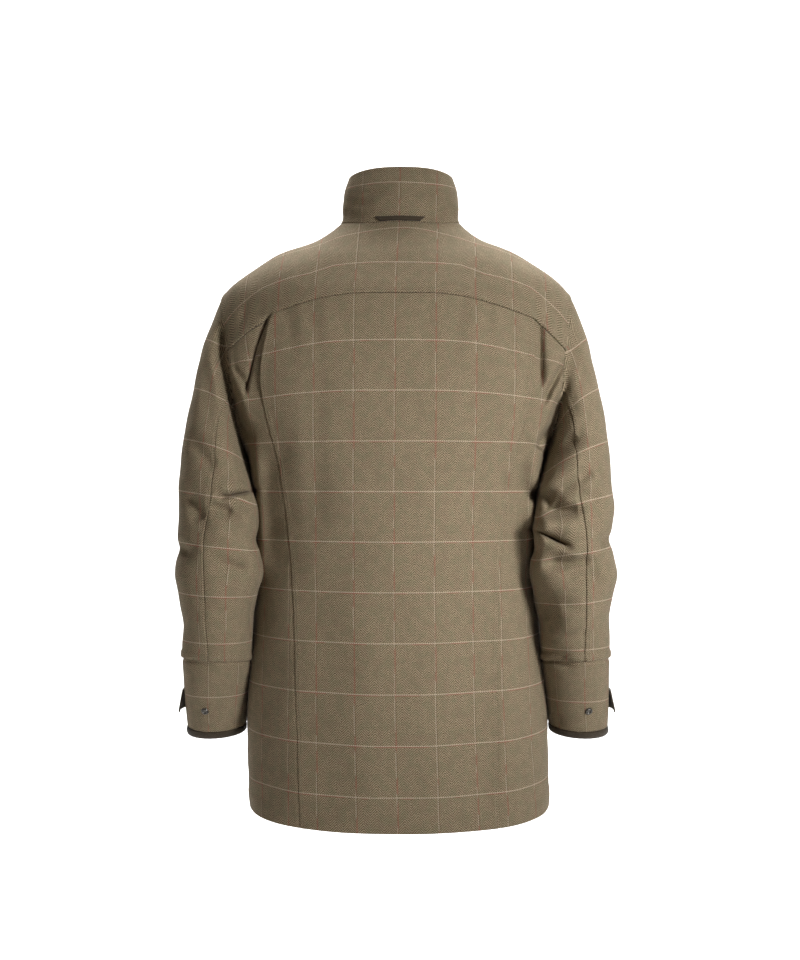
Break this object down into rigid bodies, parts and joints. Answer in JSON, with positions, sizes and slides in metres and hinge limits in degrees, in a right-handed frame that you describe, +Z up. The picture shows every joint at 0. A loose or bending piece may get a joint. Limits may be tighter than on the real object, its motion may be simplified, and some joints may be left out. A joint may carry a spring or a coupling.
{
  "type": "tweed coat",
  "caption": "Hip-length tweed field coat in its worn form: tall stand collar, shoulder yoke, shaped back with action pleats, two-piece sleeves and deep bound cuffs; hollow, no wearer.",
  "frame": {"origin": "in the middle of the neck, level with the back neck seam, where the wearer's neck and shoulders carry the coat", "axes": "+Z up, +Y towards the wearer's front, +X towards the wearer's right"},
  "size_m": [0.6563, 0.352, 0.9461],
  "materials": {
    "tweed": "matt woollen tweed, olive brown herringbone with a fine overcheck",
    "trim": "matt dark olive brown suede",
    "stud": "dark gunmetal"
  },
  "bodies": {
    "root": {"collar": "tweed", "yoke": "tweed", "back_centre": "tweed", "hanger_loop": "trim", "back_side_right": "tweed", "front_right": "tweed", "sleeve_top_right": "tweed", "sleeve_under_right": "tweed", "cuff_right": "tweed", "cuff_binding_right": "trim", "cuff_tab_right": "trim", "cuff_stud_right": "stud", "back_side_left": "tweed", "front_left": "tweed", "sleeve_top_left": "tweed", "sleeve_under_left": "tweed", "cuff_left": "tweed", "cuff_binding_left": "trim", "cuff_tab_left": "trim", "cuff_stud_left": "stud", "front_stud_1": "stud", "front_stud_2": "stud", "front_stud_3": "stud", "front_stud_4": "stud", "front_stud_5": "stud"}
  },
  "joints": []
}
